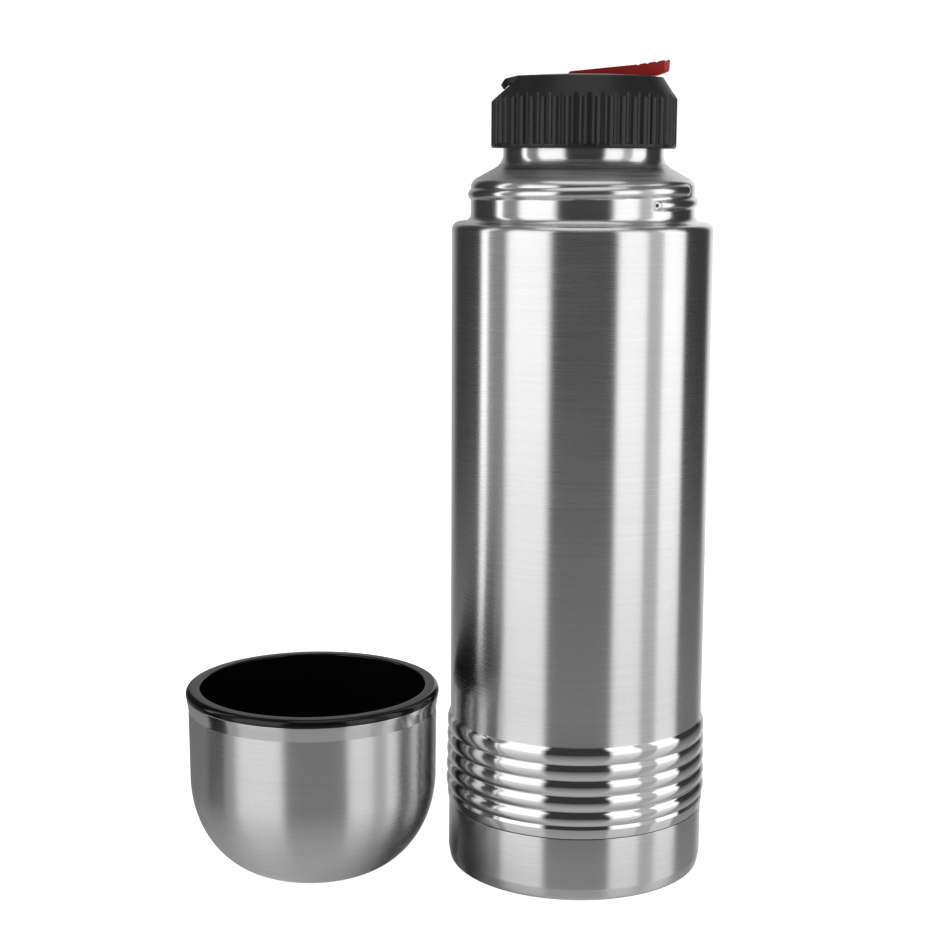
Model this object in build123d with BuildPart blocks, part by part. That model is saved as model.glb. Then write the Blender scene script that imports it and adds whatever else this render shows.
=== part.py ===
from build123d import *
import os

# Vacuum flask with a lever pour-through stopper, and its drinking cup standing beside it.
# Millimetres. +Z is up along the flask's axis, the origin is the middle of its base.

# ---- driving dimensions -------------------------------------------------------------
BODY_R = 40.0  # straight brushed body
STEEL = 0.6  # outer sheet
INNER_STEEL = 0.5  # inner vessel sheet
RUNNING = 0.05  # radial clearance of a turning or sliding fit

# base cup and the ribbed band above it
BASE_R = 40.45
BASE_TOP = 19.95
BAND_R = 40.95
BAND_FOOT_R = 40.65  # the band under the ribs widens a little from its foot
RIB_COUNT = 5
RIB_PITCH = 4.9
RIB_FIRST_Z = 26.2
RIB_CREST_R = 41.3
RIB_CREST_STEP = 0.085  # each rib's crest is this much smaller than the one below
RIB_VALLEY_R = 40.5
RIB_FOOT_R = RIB_VALLEY_R + 0.12
RIB_HALF = 2.0

# shoulder, cup collar and neck
SHOULDER_Z = 203.8
SHOULDER_ROUND = 2.2
COLLAR_R = 34.2
COLLAR_ROOT_ROUND = 2.6
COLLAR_TOP = 216.0
COLLAR_ROUND = 2.8
NECK_R = 24.4
NECK_Z = 221.5
NECK_ROUND = 2.4
CONE_SKIN_DROP = 0.35  # how far the inner corners of the cone lie under the outer ones
MOUTH_Z = 239.4
LIP = 0.6
CUP_PITCH = 4.0
BEAD_R = 1.8
BEAD_CREST = 35.1
BEAD_START_DEG = -52.0
BEAD_START_Z = 209.52
BEAD_TURN_DEG = 384.0

# stopper thread on the neck
STARTS = 3
STOPPER_LEAD = 12.0
NECK_THREAD_Z = 230.6  # lower end of each start
NECK_THREAD_DEG = 150.0
NECK_THREAD_CREST = 25.65
CAP_THREAD_CREST = 24.8
CAP_THREAD_DROP = 1.6  # the cap's ribs sit this far under the neck's
CAP_THREAD_SKIP_DEG = 20.0
CAP_THREAD_DEG = 110.0

# inner vessel
VESSEL_R = 36.2
VESSEL_NECK_R = 22.6
VESSEL_FLOOR = 9.0
VESSEL_WELD_Z = 18.0
VESSEL_SHOULDER_Z = 192.0

# stopper cap
KNURL_R = 28.2
KNURL_COUNT = 44
KNURL_RIB_R = 1.75
KNURL_ROOT_R = 27.35
CAP_BOTTOM = 226.05
CAP_BAND_TOP = 227.3
CAP_CONE_Z = 240.8  # where the cone leaves the knurl's crest
CAP_EDGE_R = 24.1
CAP_EDGE_Z = 247.1
CAP_TOP_Z = 248.2
SKIRT_IN_R = 26.25
CEILING_Z = 240.95  # the cap's underside over the mouth
CHAMBER_R = 7.0
CHAMBER_TOP = 243.0
RECESS_HALF = 6.0
RECESS_X = -11.3
RECESS_FLOOR = 244.0
RECESS_STEP_X = 8.0
RECESS_LOW_FLOOR = 242.4
SPOUT_HALF = 8.0

# plug
PLUG_R = 21.2
PLUG_BOTTOM = 206.0
PLUG_BASE_TOP = 208.5
PLUG_TOP_T = 2.0
PLUG_WALL = 1.5
PASSAGE_R = 7.0
PASSAGE_WALL = 1.4
SPIDER_Z = 217.0
SPIDER_H = 2.0
SPIDER_HUB_R = 5.2

# lever and valve
PIVOT_X = -9.0
PIVOT_Z = 246.0
PIN_R = 0.9
PIN_HALF = 10.0
LEVER_HALF = 5.5
STEM_R = 2.0
STEM_TOP = 246.32
STEM_SEAL_R = 3.2
DISC_R = 9.4
DISC_BOTTOM = 202.5
DISC_T = 1.9
SPRING_R = 4.2
SPRING_WIRE_R = 0.4
SPRING_TURNS = 7
RETAINER_Z = 238.0
RETAINER_T = 1.0

# cup
CUP_X = -83.43
CUP_Y = -8.62
CUP_TOP = 59.33
CUP_WALL_R = 38.8
CUP_NECK_R = 39.0
CUP_BOWL_Z = 30.5  # the round part of the bowl starts here
CUP_FLAT_R = 13.5
CUP_STEEL = 0.5
CUP_BAND_Z = 52.6
CUP_RIM_Z = 57.0
CUP_RIM_R = 39.75
LINER_IN_R = 35.35
LINER_RIB_CREST = 34.45
LINER_WALL = 1.4
LINER_FLOOR = 3.4
LINER_RIB_Z = 47.9
LINER_RIB_DEG = -9.0
LINER_RIB_TURN_DEG = 570.0

CUP_PLANE = Plane(origin=(CUP_X, CUP_Y, 0), x_dir=(1, 0, 0), z_dir=(0, -1, 0))
CUP_AXIS = Axis((CUP_X, CUP_Y, 0), (0, 0, 1))
UP = (Align.CENTER, Align.CENTER, Align.MIN)


# ---- shared geometry ----------------------------------------------------------------
def outline(points, radii, plane=Plane.XZ):
    """Half-section closed along the axis: (radius, height) corners, each with its rounding."""
    start, end = points[0], points[-1]
    closing = [end]
    for corner in ((0, end[1]), (0, start[1]), start):
        if corner != closing[-1]:
            closing.append(corner)
    with BuildSketch(plane) as section:
        with BuildLine():
            FilletPolyline(*points, radius=radii)
            Polyline(*closing)
        make_face()
    return section.sketch


def ring(inner_r, outer_r, low, high, plane=Plane.XZ):
    """Half-section of a plain ring."""
    with BuildSketch(plane) as section:
        with BuildLine():
            Polyline((inner_r, low), (outer_r, low), (outer_r, high), (inner_r, high), (inner_r, low))
        make_face()
    return section.sketch


def side_profile(points, radii):
    """Closed outline in the plane of symmetry, (x, z) corners, each with its rounding."""
    with BuildSketch(Plane.XZ) as section:
        with BuildLine():
            FilletPolyline(*points, radius=radii, close=True)
        make_face()
    return section.sketch


def thread_rib(wall_r, crest_r, pitch, turn_deg, angle_deg, height, half=0.9):
    """One helical rib rooted in a wall; its crest is inside or outside the wall."""
    root_r = wall_r + 0.25 if crest_r < wall_r else wall_r - 0.25
    with BuildPart() as rib:
        with BuildLine(Plane.XY.offset(height)):
            path = Helix(pitch=pitch, height=pitch * turn_deg / 360, radius=wall_r)
        with BuildSketch(Plane(origin=path @ 0, x_dir=(1, 0, 0), z_dir=path % 0)):
            with BuildLine():
                Polyline(
                    (root_r - wall_r, -half),
                    (crest_r - wall_r, -half / 2),
                    (crest_r - wall_r, half / 2),
                    (root_r - wall_r, half),
                    (root_r - wall_r, -half),
                )
            make_face()
        sweep(path=path, is_frenet=True)
    return rib.part.rotate(Axis.Z, angle_deg)


# ---- flask: outer shell -------------------------------------------------------------
SHELL_FOOT_R = BASE_R - STEEL - 0.05
SHELL_FOOT_Z = 5.2
RIB_LAST_Z = RIB_FIRST_Z + (RIB_COUNT - 1) * RIB_PITCH
SHELL_TOP = MOUTH_Z - LIP

with BuildSketch(Plane.XZ) as shell_outside:
    with BuildLine():
        Polyline((0, SHELL_FOOT_Z), (SHELL_FOOT_R, SHELL_FOOT_Z), (SHELL_FOOT_R, BASE_TOP + 0.2))
        FilletPolyline(
            (SHELL_FOOT_R, BASE_TOP + 0.2),
            (BAND_FOOT_R, BASE_TOP + 0.2),
            (BAND_R, RIB_FIRST_Z - RIB_HALF - 1.1),
            (RIB_FOOT_R, RIB_FIRST_Z - RIB_HALF),
            radius=[0.4, 0.5],
        )
        for number in range(RIB_COUNT):
            crest_z = RIB_FIRST_Z + number * RIB_PITCH
            crest_r = RIB_CREST_R - number * RIB_CREST_STEP
            rib_top = (RIB_FOOT_R, crest_z + RIB_HALF)
            ThreePointArc((RIB_FOOT_R, crest_z - RIB_HALF), (crest_r, crest_z), rib_top)
            if number < RIB_COUNT - 1:
                valley = (RIB_VALLEY_R, crest_z + RIB_PITCH / 2)
                ThreePointArc(rib_top, valley, (RIB_FOOT_R, crest_z + RIB_PITCH - RIB_HALF))
        FilletPolyline(
            (RIB_FOOT_R, RIB_LAST_Z + RIB_HALF),
            (BODY_R, RIB_LAST_Z + RIB_HALF + 0.9),
            (BODY_R, SHOULDER_Z),
            (COLLAR_R, SHOULDER_Z),
            (COLLAR_R, COLLAR_TOP),
            (NECK_R, NECK_Z),
            (NECK_R, SHELL_TOP),
            radius=[0.5, SHOULDER_ROUND, COLLAR_ROOT_ROUND, COLLAR_ROUND, NECK_ROUND],
        )
        Polyline((NECK_R, SHELL_TOP), (0, SHELL_TOP), (0, SHELL_FOOT_Z))
    make_face()

shell_inside = outline(
    [
        (SHELL_FOOT_R - STEEL, SHELL_FOOT_Z),
        (SHELL_FOOT_R - STEEL, BASE_TOP + 0.6),
        (RIB_VALLEY_R - STEEL, BASE_TOP + 1.6),
        (RIB_VALLEY_R - STEEL, RIB_LAST_Z + 1.4),
        (BODY_R - STEEL, RIB_LAST_Z + 2.9),
        (BODY_R - STEEL, SHOULDER_Z - STEEL),
        (COLLAR_R - STEEL, SHOULDER_Z - STEEL),
        (COLLAR_R - STEEL, COLLAR_TOP - CONE_SKIN_DROP),
        (NECK_R - STEEL, NECK_Z - CONE_SKIN_DROP),
        (NECK_R - STEEL, SHELL_TOP),
    ],
    [
        0.3,
        0.3,
        0.5,
        0.5,
        SHOULDER_ROUND - STEEL,
        COLLAR_ROOT_ROUND + STEEL,
        COLLAR_ROUND - STEEL,
        NECK_ROUND + STEEL,
    ],
)

START_STEP_DEG = 360 / STARTS
neck_ribs = [
    thread_rib(
        NECK_R,
        NECK_THREAD_CREST,
        STOPPER_LEAD,
        NECK_THREAD_DEG,
        start * START_STEP_DEG,
        NECK_THREAD_Z,
    )
    for start in range(STARTS)
]

# cup thread: a rolled bead that climbs a little over one turn round the collar
with BuildPart() as cup_bead:
    with BuildLine(Plane.XY.offset(BEAD_START_Z)):
        bead_rise = CUP_PITCH * BEAD_TURN_DEG / 360
        bead_path = Helix(pitch=CUP_PITCH, height=bead_rise, radius=BEAD_CREST - BEAD_R)
    with BuildSketch(Plane(origin=bead_path @ 0, z_dir=bead_path % 0)):
        Circle(BEAD_R)
    sweep(path=bead_path, is_frenet=True)
    with Locations(bead_path @ 0, bead_path @ 1):
        Sphere(BEAD_R)
    with Locations((0, 0, SHOULDER_Z - 10)):
        Cylinder(COLLAR_R - 0.3, 40, align=UP, mode=Mode.SUBTRACT)
turned_bead = cup_bead.part.rotate(Axis.Z, BEAD_START_DEG)

with BuildPart() as outer_shell:
    add(turned_bead)
    add(neck_ribs)
    revolve(shell_outside.sketch, axis=Axis.Z)
    revolve(shell_inside, axis=Axis.Z, mode=Mode.SUBTRACT)
outer_shell.part.label = "outer_shell"

# ---- flask: base cup, bottom plate and seal ------------------------------------------
GROOVE_R = 26.0
GROOVE_W = 4.0
GROOVE_H = 0.5
PLATE_Z = 4.6  # underside of the vacuum jacket's bottom plate

base_outside = outline(
    [(0, 0), (BASE_R - 0.7, 0), (BASE_R, 4.0), (BASE_R, BASE_TOP)], [1.5, 2.0]
)
base_inside = outline(
    [(0, 1.2), (SHELL_FOOT_R - 0.9, 1.2), (SHELL_FOOT_R, 4.0), (SHELL_FOOT_R, BASE_TOP)], [1.5, 1.5]
)

foot_groove = ring(GROOVE_R, GROOVE_R + GROOVE_W, 0, GROOVE_H)

with BuildPart() as base_cup:
    revolve(base_outside, axis=Axis.Z)
    revolve(base_inside, axis=Axis.Z, mode=Mode.SUBTRACT)
    revolve(foot_groove, axis=Axis.Z, mode=Mode.SUBTRACT)
base_cup.part.label = "base_cup"

PLATE_R = SHELL_FOOT_R - STEEL
plate_outside = outline(
    [(0, PLATE_Z - 0.8), (12, PLATE_Z - 0.8), (16, PLATE_Z), (PLATE_R, PLATE_Z), (PLATE_R, PLATE_Z + 3.4)],
    [1.0, 1.0, 0.9],
)
plate_inside = outline(
    [
        (0, PLATE_Z - 0.8 + STEEL),
        (12.2, PLATE_Z - 0.8 + STEEL),
        (16.2, PLATE_Z + STEEL),
        (PLATE_R - STEEL, PLATE_Z + STEEL),
        (PLATE_R - STEEL, PLATE_Z + 3.4),
    ],
    [1.0, 1.0, 0.5],
)

with BuildPart() as bottom_plate:
    revolve(plate_outside, axis=Axis.Z)
    revolve(plate_inside, axis=Axis.Z, mode=Mode.SUBTRACT)
    with Locations((0, 0, PLATE_Z)):
        Cylinder(1.5, 4, mode=Mode.SUBTRACT)
bottom_plate.part.label = "bottom_plate"

with BuildPart() as vacuum_seal:
    with Locations((0, 0, PLATE_Z - 0.8 - 1.4)):
        Cylinder(4.0, 1.4, align=UP)
        Cylinder(1.45, 2.4, align=UP)
    fillet(vacuum_seal.faces().sort_by(Axis.Z)[0].edges(), radius=0.6)
vacuum_seal.part.label = "vacuum_seal"

# ---- flask: inner vessel -------------------------------------------------------------
VESSEL_NECK_IN = VESSEL_NECK_R - INNER_STEEL
vessel_outside = outline(
    [
        (VESSEL_R, VESSEL_WELD_Z),
        (VESSEL_R, VESSEL_SHOULDER_Z),
        (VESSEL_NECK_R, VESSEL_SHOULDER_Z + 21),
        (VESSEL_NECK_R, SHELL_TOP),
        (NECK_R + 0.3, SHELL_TOP),
        (NECK_R + 0.3, MOUTH_Z),
    ],
    [14.0, 8.0, 0, 0],
)
vessel_inside = outline(
    [
        (VESSEL_R - INNER_STEEL, VESSEL_WELD_Z),
        (VESSEL_R - INNER_STEEL, VESSEL_SHOULDER_Z - 0.25),
        (VESSEL_NECK_IN, VESSEL_SHOULDER_Z + 20.75),
        (VESSEL_NECK_IN, MOUTH_Z),
    ],
    [13.5, 8.5],
)

with BuildPart() as inner_vessel:
    revolve(vessel_outside, axis=Axis.Z)
    revolve(vessel_inside, axis=Axis.Z, mode=Mode.SUBTRACT)
    lip_edges = inner_vessel.edges().filter_by(GeomType.CIRCLE).group_by(Axis.Z)[-1]
    fillet(lip_edges.sort_by(SortBy.RADIUS)[-1], radius=0.25)
inner_vessel.part.label = "inner_vessel"

floor_outside = outline([(0, VESSEL_FLOOR), (VESSEL_R, VESSEL_FLOOR), (VESSEL_R, VESSEL_WELD_Z)], [7.0])
floor_inside = outline(
    [
        (0, VESSEL_FLOOR + INNER_STEEL),
        (VESSEL_R - INNER_STEEL, VESSEL_FLOOR + INNER_STEEL),
        (VESSEL_R - INNER_STEEL, VESSEL_WELD_Z),
    ],
    [6.5],
)

with BuildPart() as inner_vessel_bottom:
    revolve(floor_outside, axis=Axis.Z)
    revolve(floor_inside, axis=Axis.Z, mode=Mode.SUBTRACT)
inner_vessel_bottom.part.label = "inner_vessel_bottom"

FOIL_LOW = 22.0
FOIL_HIGH = 184.0
foil_section = ring(VESSEL_R + 0.1, VESSEL_R + 0.3, FOIL_LOW, FOIL_HIGH)

with BuildPart() as radiation_foil:
    revolve(foil_section, axis=Axis.Z)
radiation_foil.part.label = "radiation_foil"

GETTER_X = 18.0
GETTER_R = 4.5
GETTER_H = 1.6

with BuildPart() as getter:
    with Locations((GETTER_X, 0, VESSEL_FLOOR - GETTER_H)):
        Cylinder(GETTER_R, GETTER_H, align=UP)
    chamfer(getter.edges().group_by(Axis.Z)[0], length=0.4)
getter.part.label = "getter"

# ---- stopper: cap --------------------------------------------------------------------
RIB_CENTRE_R = KNURL_R - KNURL_RIB_R

cone_cut = outline(
    [
        (KNURL_R - 0.4, CAP_BOTTOM),
        (KNURL_R + 0.3, CAP_BOTTOM + 1.2),
        (KNURL_R + 0.3, CAP_CONE_Z - 0.5),
        (CAP_EDGE_R, CAP_EDGE_Z),
        (0, CAP_EDGE_Z),
    ],
    [0.8, 1.5, 0.7],
)
with BuildSketch(Plane.XZ) as crown_section:
    with BuildLine():
        crown = ThreePointArc(
            (CAP_EDGE_R, CAP_EDGE_Z), (CAP_EDGE_R / 2, CAP_TOP_Z - 0.27), (0, CAP_TOP_Z)
        )
        Polyline(crown @ 1, (0, CAP_EDGE_Z - 2), (CAP_EDGE_R, CAP_EDGE_Z - 2), crown @ 0)
    make_face()

skirt_hollow = ring(0, SKIRT_IN_R, CAP_BOTTOM - 1, CEILING_Z)
chamber = ring(0, CHAMBER_R, CEILING_Z - 1, CHAMBER_TOP)

# pour face: everything to the left of an inclined plane is cut away
POUR_LOW = (-28.9, 239.2)
POUR_HIGH = (-18.6, 248.0)
pour_cut = side_profile([POUR_LOW, POUR_HIGH, (-20, 252), (-34, 252), (-34, 239.2)], [0, 0, 0, 0, 0])
channel_cut = side_profile(
    [(-6.5, 241.9), (-6.5, 243.0), (-14.0, 243.3), (-21.5, 244.9), (-30, 246.5), (-30, 241.1), (-20, 241.7)],
    [0, 0, 1.5, 1.0, 0, 0, 1.0],
)
recess_high = side_profile(
    [(RECESS_X, RECESS_FLOOR), (RECESS_STEP_X, RECESS_FLOOR), (RECESS_STEP_X, 255), (RECESS_X, 255)],
    [0.6, 0, 0, 0],
)
recess_low = side_profile(
    [
        (RECESS_STEP_X - 0.1, RECESS_LOW_FLOOR),
        (40, RECESS_LOW_FLOOR),
        (40, 255),
        (RECESS_STEP_X - 0.1, 255),
    ],
    [0.6, 0, 0, 0],
)
hood = side_profile(
    [
        (-16.0, 247.0),
        (-16.0, 247.6),
        (-20.5, 247.35),
        (-24.2, 246.55),
        (-25.3, 244.9),
        (-24.3, 243.5),
        (-22.9, 244.9),
        (-20.0, 246.0),
    ],
    [0, 0.2, 3.0, 1.3, 0.25, 0.4, 1.5, 1.0],
)
HOOD_PLAN_X = -13.6
HOOD_PLAN_R = 11.7
HOOD_HALF = 9.5

cap_ribs = [
    thread_rib(
        SKIRT_IN_R,
        CAP_THREAD_CREST,
        STOPPER_LEAD,
        CAP_THREAD_DEG,
        start * START_STEP_DEG + CAP_THREAD_SKIP_DEG,
        NECK_THREAD_Z + STOPPER_LEAD * CAP_THREAD_SKIP_DEG / 360 - CAP_THREAD_DROP,
    )
    for start in range(STARTS)
]

with BuildPart() as pour_hood:
    extrude(hood, amount=HOOD_HALF, both=True)
    with Locations((HOOD_PLAN_X, 0, 240)):
        Cylinder(HOOD_PLAN_R, 12, align=UP, mode=Mode.INTERSECT)

with BuildPart() as stopper_cap:
    # knurled skirt: round ribs standing on a plain wall, with a smooth band under them
    with BuildSketch(Plane.XY.offset(CAP_BAND_TOP - 0.6)):
        Circle(KNURL_ROOT_R)
        with PolarLocations(RIB_CENTRE_R, KNURL_COUNT, start_angle=180 / KNURL_COUNT):
            Circle(KNURL_RIB_R)
    extrude(amount=CAP_EDGE_Z - CAP_BAND_TOP + 0.6)
    with Locations((0, 0, CAP_BOTTOM)):
        Cylinder(KNURL_R - 0.1, CAP_BAND_TOP - CAP_BOTTOM, align=UP)
    revolve(cone_cut, axis=Axis.Z, mode=Mode.INTERSECT)
    revolve(crown_section.sketch, axis=Axis.Z)
    extrude(pour_cut, amount=40, both=True, mode=Mode.SUBTRACT)
    extrude(channel_cut, amount=SPOUT_HALF, both=True, mode=Mode.SUBTRACT)
    revolve(skirt_hollow, axis=Axis.Z, mode=Mode.SUBTRACT)
    revolve(chamber, axis=Axis.Z, mode=Mode.SUBTRACT)
    add(pour_hood.part)
    # recess for the lever, open to the right, and the bores of its pin and of the stem's seal
    extrude(recess_high, amount=RECESS_HALF, both=True, mode=Mode.SUBTRACT)
    extrude(recess_low, amount=RECESS_HALF, both=True, mode=Mode.SUBTRACT)
    with BuildSketch(Plane.XZ):
        with Locations((PIVOT_X, PIVOT_Z)):
            Circle(PIN_R)
    extrude(amount=PIN_HALF, both=True, mode=Mode.SUBTRACT)
    with Locations((0, 0, CHAMBER_TOP)):
        Cylinder(STEM_SEAL_R, 6, mode=Mode.SUBTRACT)
    add(cap_ribs)
stopper_cap.part.label = "stopper_cap"

# ---- stopper: plug -------------------------------------------------------------------
SLEEVE_R = PASSAGE_R + PASSAGE_WALL

plug_outside = outline(
    [(PLUG_R - 0.6, PLUG_BASE_TOP), (PLUG_R, 222.0), (PLUG_R, CEILING_Z)],
    [3.0],
)
plug_hollow = outline(
    [
        (PLUG_R - 0.6 - PLUG_WALL, PLUG_BASE_TOP),
        (PLUG_R - PLUG_WALL, 222.0),
        (PLUG_R - PLUG_WALL, CEILING_Z - PLUG_TOP_T),
    ],
    [3.0],
)

sleeve = ring(0, SLEEVE_R, PLUG_BASE_TOP, CEILING_Z)
passage = ring(0, PASSAGE_R, PLUG_BASE_TOP - 1, CEILING_Z + 1)

with BuildPart() as plug_body:
    revolve(plug_outside, axis=Axis.Z)
    revolve(plug_hollow, axis=Axis.Z, mode=Mode.SUBTRACT)
    revolve(sleeve, axis=Axis.Z)
    revolve(passage, axis=Axis.Z, mode=Mode.SUBTRACT)
    # spider that guides the stem and carries the spring
    with BuildSketch(Plane.XY.offset(SPIDER_Z)):
        Circle(SPIDER_HUB_R)
        with PolarLocations(0, 3):
            with Locations((PASSAGE_R / 2 + 0.4, 0)):
                Rectangle(PASSAGE_R + 0.4, 1.6)
        Circle(STEM_R + RUNNING, mode=Mode.SUBTRACT)
    extrude(amount=SPIDER_H)
plug_body.part.label = "plug_body"

insulation_section = ring(SLEEVE_R + 0.1, PLUG_R - 2.4, PLUG_BASE_TOP + 0.3, CEILING_Z - 2.4)
plug_base_section = ring(PASSAGE_R, PLUG_R - 0.7, PLUG_BOTTOM, PLUG_BASE_TOP)
stem_seal_section = ring(STEM_R + RUNNING, STEM_SEAL_R, CHAMBER_TOP, RECESS_FLOOR)
neck_seal_section = ring(PLUG_R + 0.15, NECK_R + 1.2, MOUTH_Z + 0.05, CEILING_Z - 0.05)

with BuildPart() as plug_insulation:
    revolve(insulation_section, axis=Axis.Z)
    fillet(plug_insulation.edges(), radius=0.6)
plug_insulation.part.label = "plug_insulation"

with BuildPart() as plug_base:
    revolve(plug_base_section, axis=Axis.Z)
    fillet(plug_base.edges().group_by(Axis.Z)[0].sort_by(SortBy.RADIUS)[-1], radius=1.2)
plug_base.part.label = "plug_base"

with BuildPart() as stem_seal:
    revolve(stem_seal_section, axis=Axis.Z)
stem_seal.part.label = "stem_seal"

with BuildPart() as neck_seal:
    revolve(neck_seal_section, axis=Axis.Z)
    fillet(neck_seal.edges().filter_by(GeomType.CIRCLE), radius=0.3)
neck_seal.part.label = "neck_seal"

# ---- stopper: lever ------------------------------------------------------------------
GRIP_FIRST_X = 15.8
GRIP_STEP = 2.8
GRIP_NOTCHES = 4
GRIP_R = 1.1
GRIP_LIFT = 0.8  # how far the grooves' centres stand over the top face
LEVER_TOP_LEFT = (-4.6, 248.85)
LEVER_TOP_BEND = (14.4, 250.8)
LEVER_TIP_TOP = (25.5, 252.5)
LEVER_TIP_LOW = (25.2, 248.9)

lever_side = side_profile(
    [
        (-10.75, 247.25),
        (-10.75, 244.9),
        (-9.9, 244.35),
        (-7.9, 244.35),
        (-6.3, 246.4),
        (2.2, 246.4),
        (22.0, 247.8),
        LEVER_TIP_LOW,
        LEVER_TIP_TOP,
        LEVER_TOP_BEND,
        LEVER_TOP_LEFT,
        (-6.0, 247.4),
    ],
    [1.2, 0.5, 0.6, 0.6, 0.8, 1.0, 2.0, 0.5, 0.35, 6.0, 0.8, 1.0],
)
tip_run = LEVER_TIP_TOP[0] - LEVER_TOP_BEND[0]
tip_rise = LEVER_TIP_TOP[1] - LEVER_TOP_BEND[1]

with BuildPart() as lever:
    extrude(lever_side, amount=LEVER_HALF, both=True)
    # thumb grip: shallow round grooves across the raised end
    for number in range(GRIP_NOTCHES):
        notch_x = GRIP_FIRST_X + number * GRIP_STEP
        notch_z = LEVER_TOP_BEND[1] + tip_rise * (notch_x - LEVER_TOP_BEND[0]) / tip_run
        with BuildSketch(Plane.XZ):
            with Locations((notch_x, notch_z + GRIP_LIFT)):
                Circle(GRIP_R)
        extrude(amount=LEVER_HALF + 1, both=True, mode=Mode.SUBTRACT)
    with BuildSketch(Plane.XZ):
        with Locations((PIVOT_X, PIVOT_Z)):
            Circle(PIN_R + RUNNING)
    extrude(amount=LEVER_HALF + 1, both=True, mode=Mode.SUBTRACT)
lever.part.label = "lever"

with BuildPart() as lever_pin:
    with BuildSketch(Plane.XZ):
        with Locations((PIVOT_X, PIVOT_Z)):
            Circle(PIN_R)
    extrude(amount=PIN_HALF, both=True)
    chamfer(lever_pin.edges().filter_by(GeomType.CIRCLE), length=0.2)
lever_pin.part.label = "lever_pin"

# ---- stopper: valve ------------------------------------------------------------------
DISC_TOP = DISC_BOTTOM + DISC_T
HUB_TOP = DISC_TOP + 1.6
SEAT_R = 7.4

stem_outline = outline(
    [
        (0, DISC_BOTTOM),
        (DISC_R, DISC_BOTTOM),
        (DISC_R, DISC_TOP),
        (STEM_R, HUB_TOP),
        (STEM_R, STEM_TOP - STEM_R),
    ],
    [0.7, 0.5, 1.0],
)

CLIP_R = STEM_R - 0.4  # bottom of the retainer's groove in the stem
clip_groove = ring(CLIP_R, STEM_R + 0.2, RETAINER_Z, RETAINER_Z + RETAINER_T)

with BuildPart() as valve_stem:
    revolve(stem_outline, axis=Axis.Z)
    with Locations((0, 0, STEM_TOP - STEM_R)):
        Sphere(STEM_R)
    revolve(clip_groove, axis=Axis.Z, mode=Mode.SUBTRACT)
valve_stem.part.label = "valve_stem"

with BuildPart() as valve_seal:
    with BuildSketch(Plane.XZ):
        with BuildLine():
            Polyline(
                (SEAT_R, DISC_TOP - 0.5),
                (DISC_R - 0.3, DISC_TOP - 0.5),
                (DISC_R + 0.2, PLUG_BOTTOM - 0.7),
                (DISC_R - 0.2, PLUG_BOTTOM - 0.05),
                (SEAT_R, PLUG_BOTTOM - 0.05),
                (SEAT_R, DISC_TOP - 0.5),
            )
        make_face()
    revolve(axis=Axis.Z)
    revolve(stem_outline, axis=Axis.Z, mode=Mode.SUBTRACT)
valve_seal.part.label = "valve_seal"

retainer_section = ring(CLIP_R, SPRING_R + 0.9, RETAINER_Z, RETAINER_Z + RETAINER_T)

with BuildPart() as spring_retainer:
    revolve(retainer_section, axis=Axis.Z)
spring_retainer.part.label = "spring_retainer"

SPRING_LOW = SPIDER_Z + SPIDER_H + SPRING_WIRE_R
SPRING_HIGH = RETAINER_Z - SPRING_WIRE_R
with BuildPart() as valve_spring:
    spring_rise = SPRING_HIGH - SPRING_LOW - 0.1
    with BuildLine(Plane.XY.offset(SPRING_LOW + 0.05)):
        spring_path = Helix(pitch=spring_rise / SPRING_TURNS, height=spring_rise, radius=SPRING_R)
    with BuildSketch(Plane(origin=spring_path @ 0, z_dir=spring_path % 0)):
        Circle(SPRING_WIRE_R)
    sweep(path=spring_path, is_frenet=True)
valve_spring.part.label = "valve_spring"


# ---- cup -----------------------------------------------------------------------------
def bowl(wall_r, flat_r, floor_z, top_points, radii):
    """Half-section of the cup: a flat floor, an elliptical bowl and then the wall upwards."""
    with BuildSketch(CUP_PLANE) as section:
        with BuildLine():
            Line((0, floor_z), (flat_r, floor_z))
            EllipticalCenterArc(
                (flat_r, CUP_BOWL_Z), wall_r - flat_r, CUP_BOWL_Z - floor_z, start_angle=-90, arc_size=90
            )
            FilletPolyline((wall_r, CUP_BOWL_Z), *top_points, radius=radii)
            Polyline(top_points[-1], (0, top_points[-1][1]), (0, floor_z))
        make_face()
    return section.sketch


SHELL_LIP_Z = CUP_RIM_Z + 0.9
CUP_LIP_R = CUP_RIM_R - 1.0  # the steel's lip, which stands in the liner's slot
LIP_IN_R = CUP_LIP_R - CUP_STEEL
shell_out = bowl(
    CUP_WALL_R,
    CUP_FLAT_R,
    0,
    [
        (CUP_NECK_R, CUP_BAND_Z - 1),
        (CUP_NECK_R, CUP_BAND_Z),
        (CUP_RIM_R - 0.05, CUP_RIM_Z),
        (CUP_LIP_R, CUP_RIM_Z + 0.02),
        (CUP_LIP_R, SHELL_LIP_Z),
    ],
    [0, 1.5, 0, 0],
)
shell_in = bowl(
    CUP_WALL_R - CUP_STEEL,
    CUP_FLAT_R,
    CUP_STEEL,
    [
        (CUP_NECK_R - CUP_STEEL, CUP_BAND_Z - 1),
        (CUP_NECK_R - CUP_STEEL, CUP_RIM_Z - 1.6),
        (LIP_IN_R, CUP_RIM_Z - 1.0),
        (LIP_IN_R, SHELL_LIP_Z),
    ],
    [0, 0.3, 0.3],
)

with BuildPart() as cup_shell:
    revolve(shell_out, axis=CUP_AXIS)
    revolve(shell_in, axis=CUP_AXIS, mode=Mode.SUBTRACT)
cup_shell.part.label = "cup_shell"

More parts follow.
